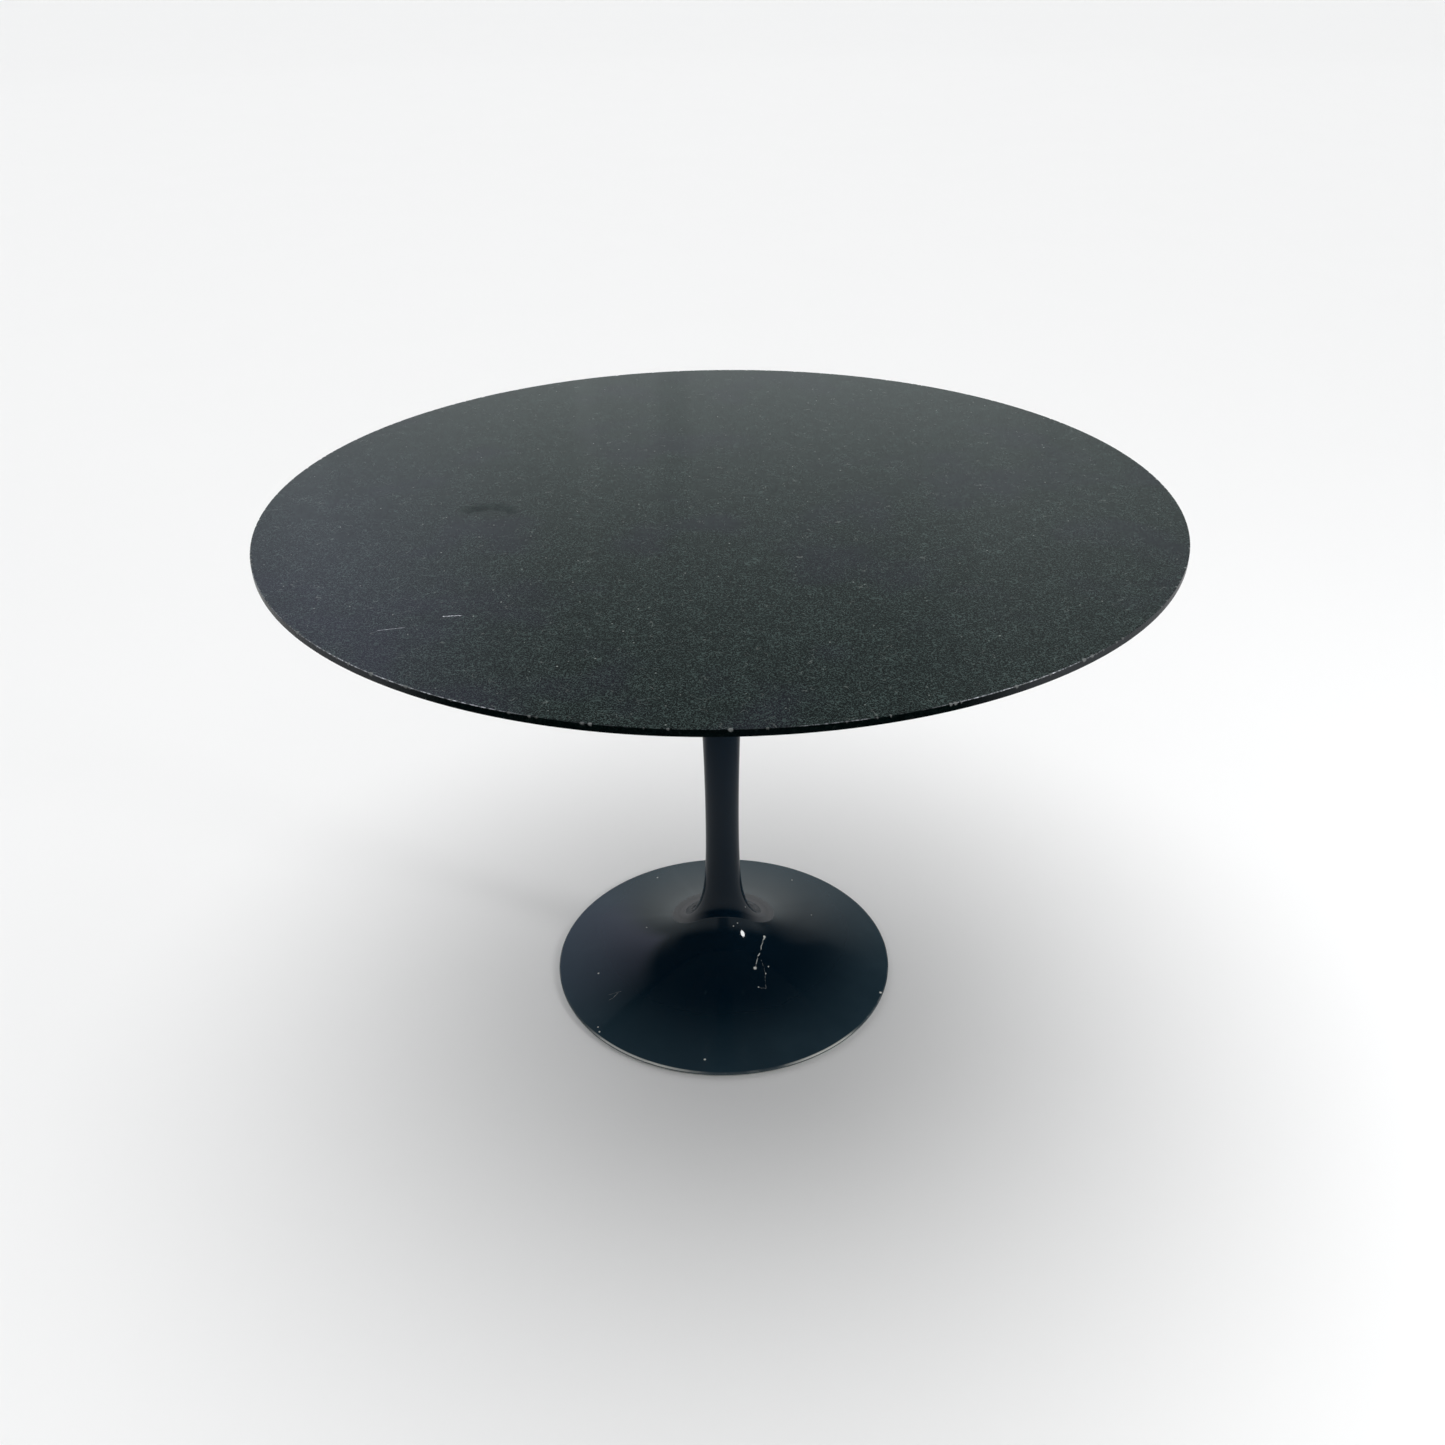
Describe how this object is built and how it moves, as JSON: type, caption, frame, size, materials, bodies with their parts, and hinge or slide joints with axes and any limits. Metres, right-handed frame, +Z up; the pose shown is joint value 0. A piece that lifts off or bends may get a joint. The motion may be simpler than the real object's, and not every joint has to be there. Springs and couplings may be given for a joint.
{
  "type": "round pedestal table",
  "caption": "Round dining table with a thin knife-edged polished stone top bolted to a one-piece cast trumpet pedestal in gloss black.",
  "frame": {"origin": "on the floor, on the axis of the pedestal", "axes": "+Z up along the pedestal's axis; +X and +Y are horizontal, with a mounting bolt on +X"},
  "size_m": [1.0798, 1.08, 0.71],
  "materials": {
    "granite": "polished",
    "adhesive": "satin",
    "plywood": "matte",
    "brass": "satin",
    "black_steel": "satin",
    "zinc_steel": "satin",
    "gasket": "matte",
    "black_enamel": "gloss",
    "glide": "satin"
  },
  "bodies": {
    "root": {"stone_top": "granite", "adhesive_bed": "adhesive", "backing_disc": "plywood", "threaded_inserts": "brass", "mounting_plate": "black_steel", "mounting_washers": "zinc_steel", "mounting_spring_washers": "zinc_steel", "mounting_bolts": "zinc_steel", "hub_spigot": "black_steel", "hub_weld": "black_steel", "mouth_gasket": "gasket", "pedestal": "black_enamel", "tie_rod": "zinc_steel", "top_nut_washer": "zinc_steel", "top_nut": "zinc_steel", "clamp_plate": "black_steel", "clamp_washer": "zinc_steel", "clamp_spring_washer": "zinc_steel", "clamp_nut": "zinc_steel", "glide_ring": "glide"}
  },
  "joints": []
}
